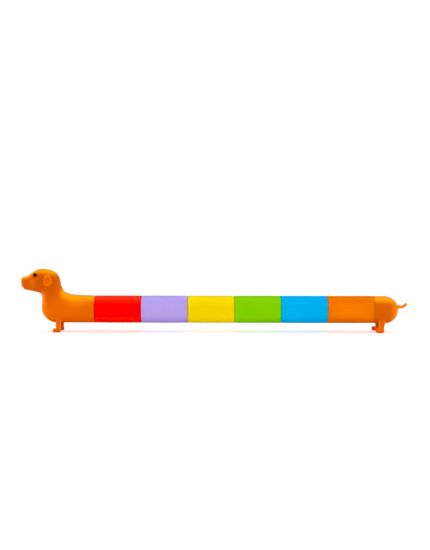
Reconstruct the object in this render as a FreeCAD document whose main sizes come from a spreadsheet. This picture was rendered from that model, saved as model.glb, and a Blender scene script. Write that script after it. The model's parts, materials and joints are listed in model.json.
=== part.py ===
import FreeCAD, Part
import math
import os
import Sketcher

# Twist puzzle dog: a dachshund whose straight body is a row of blocks that swivel about the
# body's long axis. +X runs towards the tail, the head is at -X, +Z is up. The origin is on
# the floor under the middle of the whole length. All lengths are in millimetres.

SIZES = {
    # body and its blocks
    "body_width": 22.0,
    "body_corner": 8.0,
    "axis_height": 18.9,
    "first_seam": -99.7,
    "block_pitch": 38.8,
    "seam_gap": 0.2,
    "shell_wall": 2.0,
    "end_wall": 3.0,
    "seam_round": 0.4,
    # end cap that closes a block and carries the next block's journal
    "cap_thickness": 2.4,
    "cap_ledge": 0.8,
    "cap_play": 0.05,
    "journal_diameter": 8.0,
    "running_clearance": 0.08,
    "journal_reach": 7.0,
    "pilot_diameter": 2.6,
    "pilot_depth": 8.0,
    "collar_diameter": 13.0,
    "collar_length": 1.2,
    # friction spring, washer and screw of each swivel
    "spring_wire": 0.7,
    "spring_diameter": 9.8,
    "spring_pitch": 0.95,
    "spring_height": 1.9,
    "spring_play": 0.02,
    "washer_diameter": 12.0,
    "washer_bore": 3.2,
    "washer_thickness": 0.8,
    "screw_shank": 2.5,
    "screw_head_diameter": 6.0,
    "screw_head_height": 2.0,
    "screw_length": 7.5,
    "recess_width": 0.9,
    "recess_span": 3.2,
    "recess_depth": 1.2,
    # legs
    "front_leg_thickness": 4.8,
    "front_leg_offset": 7.8,
    "rear_leg_thickness": 5.4,
    "rear_leg_offset": 8.6,
    "leg_round": 0.9,
    # rounded rear end
    "dome_start": 143.0,
    "dome_length": 11.8,
    "dome_drop": 0.4,
    # ears and eyes
    "ear_thickness": 3.4,
    "ear_offset": 8.3,
    "ear_dish_depth": 0.5,
    "eye_diameter": 3.0,
    "eye_stem_diameter": 1.6,
    "eye_stem_length": 3.0,
    "eye_offset": 6.3,
    # tail
    "tail_diameter": 2.1,
    "tail_flange_diameter": 4.0,
    "tail_flange_thickness": 1.2,
    # screws that hold the shell halves together
    "boss_diameter": 6.0,
    "shell_screw_reach": 5.5,
    "shell_screw_seat": 5.5,
    "seat_diameter": 5.4,
    "shell_head_diameter": 5.0,
}

BLOCKS = ["red", "purple", "yellow", "green", "blue", "orange"]

# Each row is one cross-section of a lofted form, a rounded rectangle square to the middle
# plane: the x and z of its top, the x and z of its bottom, and its width along Y.
NECK_SECTIONS = [
    (-104.0, 29.9, -104.0, 7.9, 22.0),
    (-111.0, 30.1, -111.0, 7.9, 22.0),
    (-117.5, 30.9, -118.5, 7.9, 22.0),
    (-122.8, 32.3, -126.5, 7.9, 21.8),
    (-126.2, 34.6, -134.5, 8.9, 21.0),
    (-128.0, 37.6, -140.8, 12.2, 19.6),
    (-128.9, 40.6, -143.8, 18.5, 18.2),
    (-129.4, 43.4, -144.2, 26.0, 16.8),
    (-130.8, 46.5, -145.0, 33.0, 15.0),
]
SKULL_SECTIONS = [
    (-161.7, 44.6, -161.7, 39.4, 6.4),
    (-161.2, 45.8, -161.2, 38.0, 8.8),
    (-158.0, 46.2, -158.0, 35.9, 11.0),
    (-154.0, 48.2, -154.0, 34.7, 12.8),
    (-150.2, 51.3, -150.2, 33.8, 15.2),
    (-146.0, 52.7, -146.0, 33.4, 17.2),
    (-141.5, 52.8, -141.5, 33.4, 17.8),
    (-137.0, 51.8, -137.0, 34.4, 17.2),
    (-133.4, 49.9, -133.4, 36.6, 15.0),
    (-130.9, 47.2, -130.9, 39.2, 11.0),
    (-129.6, 44.6, -129.6, 41.4, 5.6),
]
SKULL_CORNER = 0.44

# Side outlines of the legs, from the sole at z = 0 up into the body, toe towards -X.
FRONT_LEG = {
    "toe": -134.3,
    "heel": -128.0,
    "shaft_front": -131.7,
    "shaft_back": -128.0,
    "toe_height": 3.8,
    "spread_height": 8.4,
    "top_front": -132.9,
    "top_back": -126.7,
    "top": 14.2,
}
REAR_LEG = {
    "toe": 134.6,
    "heel": 141.5,
    "shaft_front": 137.8,
    "shaft_back": 141.5,
    "toe_height": 3.8,
    "spread_height": 8.4,
    "top_front": 136.7,
    "top_back": 143.6,
    "top": 16.6,
}
EAR_CENTRE = (-138.9, 43.3)
EAR_RADII = (3.5, 5.25)
EYE_CENTRE = (-149.2, 47.7)
TAIL_PATH = [(151.7, 20.7), (154.3, 20.8), (156.6, 20.4), (158.8, 20.7), (160.65, 22.6)]
HEAD_SCREWS = [(-114.0, 18.9), (-135.0, 20.5)]
REAR_SCREWS = [(148.2, 23.0), (148.2, 13.0)]

doc = FreeCAD.newDocument("twist_dog")
sheet = doc.addObject("Spreadsheet::Sheet", "Sizes")
for row, (alias, value) in enumerate(SIZES.items(), 1):
    sheet.set(f"A{row}", alias)
    sheet.set(f"B{row}", str(value))
    sheet.setAlias(f"B{row}", alias)
doc.recompute()


def size(alias):
    """The value of one cell of the sheet."""
    return float(sheet.get(alias))


def vec(x, y, z=0.0):
    return FreeCAD.Vector(x, y, z)


sub_parts = []


# ---- PartDesign helpers ----------------------------------------------------------------


def new_body(name, kept=True):
    """An empty body, and unless it is only a pattern, one of the sub-parts."""
    body = doc.addObject("PartDesign::Body", name)
    body.Label = name
    if kept:
        sub_parts.append(body)
    return body


def new_sketch(body, name, role, offset=None):
    """A sketch on one of the body's own origin planes, moved along its normal by offset."""
    sketch = body.newObject("Sketcher::SketchObject", f"{body.Name}_{name}")
    plane = next(item for item in body.Origin.OriginFeatures if item.Role == role)
    sketch.AttachmentSupport = [(plane, "")]
    sketch.MapMode = "FlatFace"
    if offset:
        sketch.setExpression("AttachmentOffset.Base.z", offset)
    return sketch


def new_feature(body, kind, sketch, length, reverse=False, symmetric=False):
    """A Pad or Pocket of the sketch, its length bound to an expression."""
    feature = body.newObject(f"PartDesign::{kind}", f"{sketch.Name}_{kind.lower()}")
    feature.Profile = sketch
    feature.Reversed = reverse
    if symmetric:
        feature.SideType = "Symmetric"
    feature.setExpression("Length", length)
    doc.recompute()
    return feature


def draw_rounded_square(sketch, side, corner):
    """A rounded square about the sketch's origin, its side and corner bound to expressions."""
    half = 5.0
    arc = 1.0
    flat = half - arc
    tangents = []
    for turn in range(4):
        rotate = FreeCAD.Rotation(vec(0, 0, 1), 90 * turn)
        line = Part.LineSegment(rotate.multVec(vec(-flat, -half)), rotate.multVec(vec(flat, -half)))
        circle = Part.Circle(rotate.multVec(vec(flat, -flat)), vec(0, 0, 1), arc)
        start = math.radians(90 * turn - 90)
        tangents.append(sketch.addGeometry(line))
        tangents.append(sketch.addGeometry(Part.ArcOfCircle(circle, start, start + math.pi / 2)))
    for here, following in zip(tangents, tangents[1:] + tangents[:1]):
        sketch.addConstraint(Sketcher.Constraint("Tangent", here, 2, following, 1))
    bottom, right, top, left = tangents[0::2]
    arcs = tangents[1::2]
    sketch.addConstraint(Sketcher.Constraint("Horizontal", bottom))
    sketch.addConstraint(Sketcher.Constraint("Horizontal", top))
    sketch.addConstraint(Sketcher.Constraint("Vertical", right))
    sketch.addConstraint(Sketcher.Constraint("Vertical", left))
    for other in arcs[1:]:
        sketch.addConstraint(Sketcher.Constraint("Equal", arcs[0], other))
    sketch.addConstraint(Sketcher.Constraint("Symmetric", bottom, 1, top, 1, -1, 1))
    wide = sketch.addConstraint(Sketcher.Constraint("DistanceX", left, 1, right, 1, 2 * half))
    high = sketch.addConstraint(Sketcher.Constraint("DistanceY", bottom, 1, top, 1, 2 * half))
    bend = sketch.addConstraint(Sketcher.Constraint("Radius", arcs[0], arc))
    sketch.setExpression(f"Constraints[{bend}]", corner)
    sketch.setExpression(f"Constraints[{wide}]", side)
    sketch.setExpression(f"Constraints[{high}]", side)


def draw_circle(sketch, diameter):
    """A circle about the sketch's origin, its diameter bound to an expression."""
    circle = sketch.addGeometry(Part.Circle(vec(0, 0), vec(0, 0, 1), 1.0))
    sketch.addConstraint(Sketcher.Constraint("Coincident", circle, 3, -1, 1))
    across = sketch.addConstraint(Sketcher.Constraint("Diameter", circle, 2.0))
    sketch.setExpression(f"Constraints[{across}]", diameter)


def draw_polygon(sketch, points):
    """A closed outline of straight lines through the points."""
    lines = []
    for start, end in zip(points, points[1:] + points[:1]):
        lines.append(sketch.addGeometry(Part.LineSegment(vec(*start), vec(*end))))
    for here, following in zip(lines, lines[1:] + lines[:1]):
        sketch.addConstraint(Sketcher.Constraint("Coincident", here, 2, following, 1))


def round_edges(body, feature, radius, wanted):
    """Fillet the feature's edges for which wanted(edge) is true."""
    names = [f"Edge{n}" for n, edge in enumerate(feature.Shape.Edges, 1) if wanted(edge)]
    fillet = body.newObject("PartDesign::Fillet", f"{body.Name}_round")
    fillet.Base = (feature, names)
    fillet.setExpression("Radius", radius)
    doc.recompute()
    return fillet


def place(body, x=None, y=None, z=None):
    """Bind the placement of a sub-part to expressions."""
    for axis, expression in (("x", x), ("y", y), ("z", z)):
        if expression:
            body.setExpression(f"Placement.Base.{axis}", expression)


def solid_feature(name, shape):
    """A sub-part whose shape comes from Part's own functions."""
    item = doc.addObject("Part::Feature", name)
    item.Label = name
    item.Shape = shape
    sub_parts.append(item)
    return item


# ---- blocks and their swivels ----------------------------------------------------------


def seam(number):
    """Expression for the x of a seam's middle plane, counted from the head."""
    return f"Sizes.first_seam + {number} * Sizes.block_pitch"


def make_block_shell(name, number):
    """A hollow block: closed end wall with the swivel bore at -X, open mouth at +X."""
    body = new_body(name)
    length = "Sizes.block_pitch - Sizes.seam_gap"
    inner = "Sizes.body_width - 2 * Sizes.shell_wall"
    inner_corner = "Sizes.body_corner - Sizes.shell_wall"

    outline = new_sketch(body, "outline", "YZ_Plane")
    draw_rounded_square(outline, "Sizes.body_width", "Sizes.body_corner")
    outer = new_feature(body, "Pad", outline, length)

    def on_end_rim(edge):
        box = edge.BoundBox
        return box.XLength < 1e-6

    outer = round_edges(body, outer, "Sizes.seam_round", on_end_rim)

    hollow = new_sketch(body, "hollow", "YZ_Plane", "Sizes.end_wall")
    draw_rounded_square(hollow, inner, inner_corner)
    new_feature(body, "Pocket", hollow, length, reverse=True)

    mouth = new_sketch(body, "mouth", "YZ_Plane", f"{length} - Sizes.cap_thickness")
    draw_rounded_square(
        mouth, f"{inner} + 2 * Sizes.cap_ledge", f"{inner_corner} + Sizes.cap_ledge"
    )
    new_feature(body, "Pocket", mouth, "Sizes.cap_thickness", reverse=True)

    collar = new_sketch(body, "collar", "YZ_Plane", "Sizes.end_wall")
    draw_circle(collar, "Sizes.collar_diameter")
    new_feature(body, "Pad", collar, "Sizes.collar_length")

    bore = new_sketch(body, "bore", "YZ_Plane")
    draw_circle(bore, "Sizes.journal_diameter + 2 * Sizes.running_clearance")
    new_feature(body, "Pocket", bore, "Sizes.end_wall + Sizes.collar_length", reverse=True)

    place(body, x=f"{seam(number)} + Sizes.seam_gap / 2", z="Sizes.axis_height")
    return body


def make_end_cap(owner, number):
    """The plate that closes a block's mouth, with the journal the next block turns on."""
    body = new_body(f"{owner}_end_cap")
    plate = new_sketch(body, "plate", "YZ_Plane")
    grown = "2 * (Sizes.cap_ledge - Sizes.shell_wall - Sizes.cap_play)"
    draw_rounded_square(
        plate,
        f"Sizes.body_width + {grown}",
        "Sizes.body_corner - Sizes.shell_wall + Sizes.cap_ledge - Sizes.cap_play",
    )
    new_feature(body, "Pad", plate, "Sizes.cap_thickness", reverse=True)

    journal = new_sketch(body, "journal", "YZ_Plane")
    draw_circle(journal, "Sizes.journal_diameter")
    new_feature(body, "Pad", journal, "Sizes.journal_reach + Sizes.seam_gap")

    pilot = new_sketch(body, "pilot", "YZ_Plane", "Sizes.journal_reach + Sizes.seam_gap")
    draw_circle(pilot, "Sizes.pilot_diameter")
    new_feature(body, "Pocket", pilot, "Sizes.pilot_depth")

    place(body, x=f"{seam(number)} - Sizes.seam_gap / 2", z="Sizes.axis_height")


def make_washer(owner, number):
    body = new_body(f"{owner}_swivel_washer")
    disc = new_sketch(body, "disc", "YZ_Plane")
    draw_circle(disc, "Sizes.washer_diameter")
    draw_circle(disc, "Sizes.washer_bore")
    new_feature(body, "Pad", disc, "Sizes.washer_thickness")
    place(
        body,
        x=f"{seam(number)} + Sizes.seam_gap / 2 + Sizes.journal_reach",
        z="Sizes.axis_height",
    )


def make_spring(owner, number):
    """The friction spring around the journal, between the next block's collar and the washer."""
    body = new_body(f"{owner}_swivel_spring")
    wire = new_sketch(body, "wire", "XZ_Plane")
    circle = wire.addGeometry(Part.Circle(vec(0, 5), vec(0, 0, 1), 0.5))
    across = wire.addConstraint(Sketcher.Constraint("Diameter", circle, 1.0))
    out = wire.addConstraint(Sketcher.Constraint("DistanceY", -1, 1, circle, 3, 5.0))
    wire.addConstraint(Sketcher.Constraint("PointOnObject", circle, 3, -2))
    wire.setExpression(f"Constraints[{across}]", "Sizes.spring_wire")
    wire.setExpression(f"Constraints[{out}]", "Sizes.spring_diameter / 2")
    doc.recompute()
    coil = body.newObject("PartDesign::AdditiveHelix", f"{body.Name}_coil")
    coil.Profile = wire
    coil.ReferenceAxis = (wire, ["H_Axis"])
    coil.Mode = 0
    coil.setExpression("Pitch", "Sizes.spring_pitch")
    coil.setExpression("Height", "Sizes.spring_height")
    doc.recompute()
    place(
        body,
        x=f"{seam(number)} + Sizes.seam_gap / 2 + Sizes.journal_reach"
        " - Sizes.spring_height - Sizes.spring_wire / 2 - Sizes.spring_play",
        z="Sizes.axis_height",
    )


def make_screw(name, length, head_diameter, kept=True):
    """A pan head screw along +X: head from x = 0 outwards, shank towards -X, cross recess."""
    body = new_body(name, kept)
    profile = new_sketch(body, "profile", "XZ_Plane")
    shank = size("screw_shank") / 2
    head = head_diameter / 2
    height = size("screw_head_height")
    tip = shank * 0.6
    draw_polygon(
        profile,
        [
            (-length, 0),
            (-length + tip, shank),
            (0, shank),
            (0, head),
            (height * 0.55, head),
            (height, head * 0.62),
            (height, 0),
        ],
    )
    turned = body.newObject("PartDesign::Revolution", f"{name}_turned")
    turned.Profile = profile
    turned.ReferenceAxis = (profile, ["H_Axis"])
    turned.Angle = 360
    doc.recompute()
    recess = new_sketch(body, "recess", "YZ_Plane", "Sizes.screw_head_height")
    slot = size("recess_width") / 2
    span = size("recess_span") / 2
    cross = []
    for turn in range(4):
        rotate = FreeCAD.Rotation(vec(0, 0, 1), 90 * turn)
        for corner in ((span, -slot), (span, slot), (slot, slot)):
            cross.append(rotate.multVec(vec(*corner)))
    draw_polygon(recess, cross)
    new_feature(body, "Pocket", recess, "Sizes.recess_depth")
    return body


def make_swivel(owner, number):
    """Everything that joins a block to the next one, fixed to the block called owner."""
    make_end_cap(owner, number)
    make_washer(owner, number)
    make_spring(owner, number)
    screw = make_screw(
        f"{owner}_swivel_screw", size("screw_length"), size("screw_head_diameter")
    )
    place(
        screw,
        x=f"{seam(number)} + Sizes.seam_gap / 2 + Sizes.journal_reach"
        " + Sizes.washer_thickness",
        z="Sizes.axis_height",
    )


# ---- lofted head and rear --------------------------------------------------------------


def section_wire(section, corner_share, inset):
    """One rounded rectangle of a loft, drawn in from its outline by inset."""
    top_x, top_z, bottom_x, bottom_z, width = section
    top = vec(top_x, 0, top_z)
    bottom = vec(bottom_x, 0, bottom_z)
    up = (top - bottom).normalize()
    high = (top - bottom).Length / 2
    wide = width / 2
    corner = corner_share * 2 * min(high, wide) - inset
    high -= inset
    wide -= inset
    middle = (top + bottom) / 2
    side = vec(0, 1, 0)
    bow = math.sqrt(0.5)

    def at(across, along):
        return middle + side * across + up * along

    edges = []
    for sign_y, sign_z in ((1, 1), (-1, 1), (-1, -1), (1, -1)):
        centre_y = sign_y * (wide - corner)
        centre_z = sign_z * (high - corner)
        on_side = at(sign_y * wide, centre_z)
        on_top = at(centre_y, sign_z * high)
        between = at(centre_y + sign_y * corner * bow, centre_z + sign_z * corner * bow)
        first, last = (on_side, on_top) if sign_y == sign_z else (on_top, on_side)
        edges.append(Part.Arc(first, between, last).toShape())
    closed = []
    for here, following in zip(edges, edges[1:] + edges[:1]):
        closed.append(here)
        closed.append(
            Part.makeLine(here.Vertexes[-1].Point, following.Vertexes[0].Point)
        )
    return Part.Wire(closed)


def loft(sections, corner_share, inset=0.0):
    wires = [section_wire(section, corner_share, inset) for section in sections]
    return Part.makeLoft(wires, True, False)


def half_space(side):
    """A large box that covers one side of the middle plane: side -1 is left, +1 is right."""
    reach = 400.0
    return Part.makeBox(
        2 * reach, reach, 2 * reach, vec(-reach, 0 if side > 0 else -reach, -reach)
    )


def square_bar(start, end, inset=0.0):
    """A stretch of the body's rounded square bar, drawn in from its outline by inset."""
    width = size("body_width")
    top = size("axis_height") + width / 2
    section = (start, top, start, top - width, width)
    wire = section_wire(section, size("body_corner") / width, inset)
    return Part.Face(wire).extrude(vec(end - start, 0, 0))


def rounded_rim(bar, x):
    """The bar with the rim of its end face at x rounded like the rims of the blocks."""
    rim = [edge for edge in bar.Edges if abs(edge.BoundBox.XMin - x) + edge.BoundBox.XLength < 1e-5]
    return bar.makeFillet(size("seam_round"), rim)


def rear_dome(inset=0.0):
    """The rounded rear end: sections that shrink like a quarter of an ellipse."""
    width = size("body_width")
    steps = 6
    steepest = math.radians(80)
    sections = []
    for step in range(steps + 1):
        angle = steepest * step / steps
        x = size("dome_start") + (size("dome_length") - inset) * math.sin(angle) / math.sin(steepest)
        half = (width / 2 - inset) * math.cos(angle)
        centre = size("axis_height") - size("dome_drop") * math.sin(angle)
        sections.append((x, centre + half, x, centre - half, 2 * half))
    share = (size("body_corner") - inset) / (width - 2 * inset)
    return loft(sections, share)


def bar_along_y(x, z, diameter, start, end):
    return Part.makeCylinder(diameter / 2, end - start, vec(x, start, z), vec(0, 1, 0))


def bar_along_x(start, length, radius):
    """A cylinder on the swivel axis."""
    return Part.makeCylinder(radius, length, vec(start, 0, size("axis_height")), vec(1, 0, 0))


def cut_halves(names, outer, hollow, screws, inserts):
    """Split a hollow form into left and right shells with screw bosses between them."""
    wall = size("shell_wall")
    seat = size("shell_screw_seat")
    reach = size("shell_screw_reach")
    half_width = size("body_width") / 2
    outside = half_width + 1.0
    for name, side in zip(names, (-1, 1)):
        shell = outer.cut(hollow)
        for x, z in screws:
            boss = bar_along_y(x, z, size("boss_diameter"), -half_width, half_width)
            shell = shell.fuse(boss.common(outer))
        for x, z in screws:
            shell = shell.cut(bar_along_y(x, z, size("pilot_diameter"), -reach - wall, seat))
            shell = shell.cut(bar_along_y(x, z, size("seat_diameter"), seat, outside))
        shell = shell.common(half_space(side))
        for insert in inserts:
            shell = shell.cut(insert)
        pieces = sorted(shell.Solids, key=lambda solid: solid.Volume)
        solid_feature(name, pieces[-1].removeSplitter())


def make_shell_screws(name, screws):
    """The screws of one pair of shells as separate solids, driven from the right side."""
    seat = size("shell_screw_seat")
    length = seat + size("shell_screw_reach")
    pattern = make_screw(f"{name}_pattern", length, size("shell_head_diameter"), kept=False)
    solids = []
    for x, z in screws:
        screw = pattern.Shape.copy()
        screw.Placement = FreeCAD.Placement(vec(x, seat, z), FreeCAD.Rotation(vec(0, 0, 1), 90))
        solids.append(screw)
    solid_feature(name, Part.makeCompound(solids))


# ---- legs, ears, eyes and tail ---------------------------------------------------------


def make_leg(name, outline, side, thickness, offset):
    """One leg with its foot: a flat outline padded across, its edges rounded."""
    body = new_body(name)
    sketch = new_sketch(body, "outline", "XZ_Plane")
    toe_lift = outline["toe_height"] * 0.45
    draw_polygon(
        sketch,
        [
            (outline["heel"], 0),
            (outline["shaft_back"], outline["spread_height"]),
            (outline["top_back"], outline["top"] - 1.6),
            (outline["top_back"] - 1.6, outline["top"]),
            (outline["top_front"] + 1.6, outline["top"]),
            (outline["top_front"], outline["top"] - 1.6),
            (outline["shaft_front"], outline["spread_height"]),
            (outline["shaft_front"], outline["toe_height"] + 0.4),
            (outline["shaft_front"] - 0.9, outline["toe_height"]),
            (outline["toe"] + 0.9, outline["toe_height"]),
            (outline["toe"], outline["toe_height"] - toe_lift),
            (outline["toe"], 0),
        ],
    )
    pad = new_feature(body, "Pad", sketch, thickness, symmetric=True)

    def round_it(edge):
        box = edge.BoundBox
        return box.YLength < 1e-6 and box.ZMax > 0.01

    round_edges(body, pad, "Sizes.leg_round", round_it)
    place(body, y=f"{side} * {offset}")
    return body


def make_ear(name, side):
    """A drop-shaped ear with a raised rim around a shallow dish."""
    x, z = EAR_CENTRE
    wide, high = EAR_RADII
    thick = size("ear_thickness")
    dish = size("ear_dish_depth")
    rim = 1.1
    puff = Part.makeSphere(1.0)
    stretch = FreeCAD.Matrix()
    stretch.scale(wide, thick / 2, high)
    drop = puff.transformGeometry(stretch)
    hollow = puff.transformGeometry(stretch)
    shrink = FreeCAD.Matrix()
    shrink.scale((wide - rim) / wide, 1.0, (high - rim) / high)
    hollow = hollow.transformGeometry(shrink)
    hollow.translate(vec(0, side * (thick - dish), 0))
    ear = drop.cut(hollow)
    ear.translate(vec(x, side * size("ear_offset"), z))
    return solid_feature(name, ear)


def make_eye(name, side):
    """A bead eye on a short stem that plugs into the skull."""
    radius = size("eye_diameter") / 2
    bead = Part.makeSphere(radius)
    stem = Part.makeCylinder(
        size("eye_stem_diameter") / 2, size("eye_stem_length"), vec(0, 0, 0), vec(0, -side, 0)
    )
    eye = bead.fuse(stem)
    eye.translate(vec(EYE_CENTRE[0], side * size("eye_offset"), EYE_CENTRE[1]))
    return solid_feature(name, eye.removeSplitter())


def make_tail():
    """A thin curled tail with a rounded tip and a flange held inside the rear shells."""
    radius = size("tail_diameter") / 2
    points = [vec(x, 0, z) for x, z in TAIL_PATH]
    curve = Part.BSplineCurve()
    curve.interpolate(points)
    path = Part.Wire(curve.toShape())
    start_direction = curve.tangent(curve.FirstParameter)[0]
    profile = Part.Wire(Part.makeCircle(radius, points[0], start_direction))
    rod = path.makePipeShell([profile], True, False)
    tip = Part.makeSphere(radius, points[-1])
    flange = Part.makeCylinder(
        size("tail_flange_diameter") / 2,
        size("tail_flange_thickness"),
        points[0],
        start_direction,
    )
    return solid_feature("tail", rod.fuse([tip, flange]).removeSplitter())


# ---- assembly --------------------------------------------------------------------------

for number, colour in enumerate(BLOCKS):
    make_block_shell(f"{colour}_block", number)
for number, owner in enumerate(["head"] + BLOCKS):
    make_swivel(owner, number)

SIDES = (("left", -1), ("right", 1))
head_inserts = []
rear_inserts = []
for word, side in SIDES:
    front = make_leg(
        f"front_{word}_leg", FRONT_LEG, side, "Sizes.front_leg_thickness", "Sizes.front_leg_offset"
    )
    rear = make_leg(
        f"rear_{word}_leg", REAR_LEG, side, "Sizes.rear_leg_thickness", "Sizes.rear_leg_offset"
    )
    ear = make_ear(f"{word}_ear", side)
    eye = make_eye(f"{word}_eye", side)
    doc.recompute()
    head_inserts += [front.Shape, ear.Shape, eye.Shape]
    rear_inserts += [rear.Shape]
tail = make_tail()
rear_inserts.append(tail.Shape)

wall = size("shell_wall")
neck_corner = size("body_corner") / size("body_width")
neck_start = NECK_SECTIONS[0][0]
head_end = size("first_seam") - size("seam_gap") / 2
mouth_start = head_end - size("cap_thickness")
clear = 1.0

head_outer = rounded_rim(square_bar(neck_start, head_end), head_end)
head_outer = head_outer.fuse([loft(NECK_SECTIONS, neck_corner), loft(SKULL_SECTIONS, SKULL_CORNER)])
head_hollow = square_bar(neck_start, head_end + clear, wall)
head_hollow = head_hollow.fuse(
    [
        loft(NECK_SECTIONS, neck_corner, wall),
        loft(SKULL_SECTIONS[2:-2], SKULL_CORNER, wall),
        square_bar(mouth_start, head_end + clear, wall - size("cap_ledge")),
    ]
)
cut_halves(
    ("head_left_shell", "head_right_shell"), head_outer, head_hollow, HEAD_SCREWS, head_inserts
)
make_shell_screws("head_shell_screws", HEAD_SCREWS)

rear_start = head_end + len(BLOCKS) * size("block_pitch") + size("seam_gap")
dome_start = size("dome_start")
rear_outer = rounded_rim(square_bar(rear_start, dome_start), rear_start).fuse(rear_dome())
rear_hollow = square_bar(rear_start + size("end_wall"), dome_start, wall).fuse(rear_dome(wall))
bearing_length = size("end_wall") + size("collar_length")
bearing_radius = size("journal_diameter") / 2 + size("running_clearance")
collar = bar_along_x(rear_start, bearing_length, size("collar_diameter") / 2)
bearing = bar_along_x(rear_start - clear, bearing_length + 2 * clear, bearing_radius)
rear_hollow = rear_hollow.cut(collar).fuse(bearing)
cut_halves(
    ("rear_left_shell", "rear_right_shell"), rear_outer, rear_hollow, REAR_SCREWS, rear_inserts
)
make_shell_screws("rear_shell_screws", REAR_SCREWS)

# ---- check and write -------------------------------------------------------------------

doc.recompute()
os.makedirs("parts", exist_ok=True)
for item in doc.Objects:
    if {"Invalid", "Error"} & set(item.State):
        raise SystemExit(f"{item.Label} failed: {item.State}")
for item in sub_parts:
    if item.Shape.isNull() or not item.Shape.isValid():
        raise SystemExit(f"{item.Label} has no valid shape")
for item in sub_parts:
    item.Shape.exportStep(f"parts/{item.Label}.step")
whole = Part.makeCompound([item.Shape for item in sub_parts]).BoundBox
print(len(sub_parts), "sub-parts")
print("box", whole)
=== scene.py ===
import json
import math

import bmesh
import bpy
import numpy as np
from mathutils import Matrix, Vector
from mathutils.bvhtree import BVHTree


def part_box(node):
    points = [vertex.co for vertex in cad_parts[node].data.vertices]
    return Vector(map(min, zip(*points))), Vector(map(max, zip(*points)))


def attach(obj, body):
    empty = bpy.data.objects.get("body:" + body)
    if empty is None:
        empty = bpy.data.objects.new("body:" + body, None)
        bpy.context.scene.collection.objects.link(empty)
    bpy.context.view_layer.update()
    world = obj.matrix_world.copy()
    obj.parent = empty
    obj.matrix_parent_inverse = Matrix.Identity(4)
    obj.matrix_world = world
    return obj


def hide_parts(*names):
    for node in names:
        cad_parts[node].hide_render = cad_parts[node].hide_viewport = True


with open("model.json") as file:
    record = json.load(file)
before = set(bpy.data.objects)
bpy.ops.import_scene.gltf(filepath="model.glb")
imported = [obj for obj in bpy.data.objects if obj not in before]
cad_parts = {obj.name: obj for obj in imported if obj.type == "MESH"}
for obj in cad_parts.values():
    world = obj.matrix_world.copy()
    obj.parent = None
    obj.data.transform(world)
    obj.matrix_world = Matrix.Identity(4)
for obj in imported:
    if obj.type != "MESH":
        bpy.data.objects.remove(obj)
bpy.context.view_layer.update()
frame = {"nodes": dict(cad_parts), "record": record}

# Twist puzzle dog. Everything is in metres: +X towards the tail, the head at -X, +Z up.
MM = 0.001

# ---- sizes -----------------------------------------------------------------------------

COLOURED = ["red", "purple", "yellow", "green", "blue", "orange"]
BLOCK_LOW, BLOCK_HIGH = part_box("red_block")
SWELL = 0.2 * MM  # how far the skins stand out past the CAD's sides
HALF_WIDTH = (BLOCK_HIGH.y - BLOCK_LOW.y) / 2 + SWELL
AXIS_Z = (BLOCK_LOW.z + BLOCK_HIGH.z) / 2
BLOCK_LENGTH = BLOCK_HIGH.x - BLOCK_LOW.x
CORNER = 8.0 * MM
BLOCK_CROWN = 0.07 * MM
WALL = 2.0 * MM
END_WALL = 3.0 * MM
MOUTH_DEPTH = 2.4 * MM
MOUTH_HALF = HALF_WIDTH - 1.2 * MM
MOUTH_CORNER = CORNER - 1.2 * MM
COLLAR_RADIUS = 6.5 * MM
COLLAR_LENGTH = 1.2 * MM
BORE_RADIUS = 4.08 * MM
BORE_CHAMFER = 0.2 * MM
RIM = 0.4 * MM
HEAD_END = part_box("head_left_shell")[1].x
REAR_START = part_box("rear_left_shell")[0].x
PARTING_GAP = 0.01 * MM  # from each shell half to the middle plane
BOSS_RADIUS = 3.0 * MM
SCREW_SEAT = 5.5 * MM
SCREW_WELL_RADIUS = 2.7 * MM
SCREW_HOLE_RADIUS = 1.3 * MM
HEAD_SCREWS = [(-114.0 * MM, 18.9 * MM), (-135.0 * MM, 20.5 * MM)]
REAR_SCREWS = [(148.2 * MM, 23.0 * MM), (148.2 * MM, 13.0 * MM)]

# Sections of the head along its bent spine, in millimetres: the x and z of the top, the x and
# z of the bottom, the width, and how round it is (1 is an ellipse).
HEAD_SECTIONS = [
    (-104.0, 30.3, -104.0, 7.7, 22.4, 0.727),
    (-108.5, 30.5, -108.5, 7.7, 22.4, 0.727),
    (-113.5, 30.7, -114.5, 7.7, 22.3, 0.74),
    (-118.6, 31.05, -121.0, 7.7, 22.1, 0.76),
    (-123.1, 32.1, -128.5, 7.65, 21.7, 0.78),
    (-126.9, 34.1, -136.5, 8.3, 20.9, 0.8),
    (-128.6, 36.8, -142.0, 12.1, 19.8, 0.8),
    (-129.4, 39.3, -144.8, 17.8, 18.6, 0.8),
    (-129.8, 41.5, -144.7, 24.0, 17.6, 0.8),
    (-130.3, 43.8, -144.5, 28.4, 17.2, 0.8),
    (-131.3, 46.7, -145.3, 31.1, 17.2, 0.8),
    (-133.4, 49.4, -146.8, 32.5, 17.4, 0.8),
    (-137.0, 51.4, -148.6, 33.2, 17.6, 0.8),
    (-141.6, 52.6, -150.6, 33.6, 17.3, 0.82),
    (-146.4, 52.7, -152.6, 34.0, 16.2, 0.85),
    (-150.4, 51.4, -154.4, 34.3, 14.6, 0.88),
    (-153.6, 49.2, -156.4, 34.7, 13.0, 0.88),
    (-156.6, 47.0, -158.1, 35.0, 11.8, 0.86),
    (-159.6, 46.1, -159.7, 35.7, 10.8, 0.84),
    (-161.3, 45.8, -160.9, 37.0, 9.6, 0.82),
]
NOSE_TIP = (-161.8, 42.0)
RINGS_BETWEEN = 6
FULL_POINTS = 128
HALF_POINTS = 44

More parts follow.
